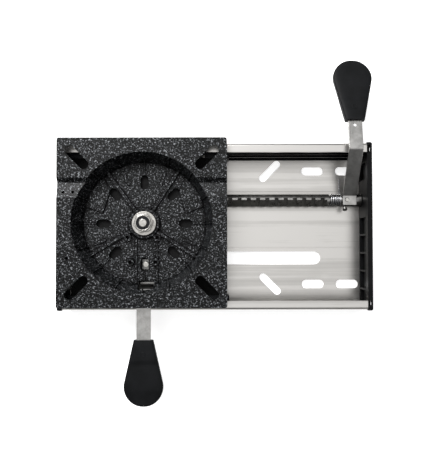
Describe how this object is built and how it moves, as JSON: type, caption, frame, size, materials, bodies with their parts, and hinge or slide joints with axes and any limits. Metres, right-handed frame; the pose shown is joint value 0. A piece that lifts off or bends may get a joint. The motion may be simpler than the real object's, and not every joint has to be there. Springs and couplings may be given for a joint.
{
  "type": "seat slide and swivel mount",
  "caption": "Sliding and swivelling pedestal mount for a seat: extruded slide, die-cast swivel base and two release levers.",
  "frame": {"origin": "where the swivel axis crosses the flat seat face", "axes": "+Z along the swivel axis from the seat face to the pedestal mounting face, +X along the slide towards the slide lever, +Y across the slide towards the slide lever's grip"},
  "size_m": [0.3369, 0.37, 0.0508],
  "materials": {
    "aluminium_extruded": "mill finish",
    "powder_coat": "hammertone",
    "black_nylon": "moulded",
    "zinc_steel": "zinc plated",
    "bright_zinc": "bright zinc",
    "spring_steel": "drawn wire",
    "paddle_plastic": "moulded",
    "acetal": "moulded"
  },
  "bodies": {
    "slide": {"slide_extrusion": "aluminium_extruded", "end_cap_left": "black_nylon", "end_cap_right": "black_nylon", "end_cap_screws": "bright_zinc", "rod_bush_left": "acetal", "rod_bush_right": "acetal", "torsion_spring": "spring_steel"},
    "lock_rod_and_lever": {"lock_rod": "zinc_steel", "slide_lever_arm": "zinc_steel", "slide_lever_paddle": "paddle_plastic", "slide_paddle_rivet": "bright_zinc", "lever_clamp_screw": "bright_zinc", "spring_anchor_screw": "zinc_steel"},
    "carriage": {"carriage_casting": "powder_coat", "glide_upper": "acetal", "glide_lower": "acetal", "glide_screws": "bright_zinc", "pivot_bolt": "bright_zinc", "pivot_bush": "acetal", "thrust_washer": "acetal", "pivot_washer": "bright_zinc", "pivot_nut": "bright_zinc", "nut_insert": "acetal", "lock_tooth": "zinc_steel", "lock_tooth_screws": "zinc_steel", "lever_bracket": "zinc_steel", "bracket_screws": "bright_zinc", "lever_pivot_pin": "bright_zinc", "swivel_lever_spring": "spring_steel"},
    "swivel": {"swivel_base": "powder_coat"},
    "swivel_lever": {"swivel_lever_arm": "zinc_steel", "swivel_lever_paddle": "paddle_plastic", "swivel_paddle_rivet": "bright_zinc", "swivel_lock_pin": "bright_zinc"}
  },
  "joints": [
    {"name": "slide_travel", "type": "slide", "parent": "slide", "child": "carriage", "axis": [1, 0, 0], "range_m": [0, 0.11176]},
    {"name": "slide_lever_turn", "type": "hinge", "parent": "slide", "child": "lock_rod_and_lever", "pos_m": [0.2244, 0.0262, 0.0112], "axis": [1, 0, 0], "range_deg": [0, 35], "stiffness_Nm_per_rad": 1, "springref_deg": -17.19},
    {"name": "swivel_turn", "type": "hinge", "parent": "carriage", "child": "swivel", "pos_m": [0, 0, 0.0508], "axis": [0, 0, 1], "continuous": true},
    {"name": "swivel_lever_turn", "type": "hinge", "parent": "carriage", "child": "swivel_lever", "pos_m": [0.001, -0.0737, 0.028], "axis": [-1, 0, 0], "range_deg": [0, 6], "stiffness_Nm_per_rad": 1, "springref_deg": -17.19}
  ]
}
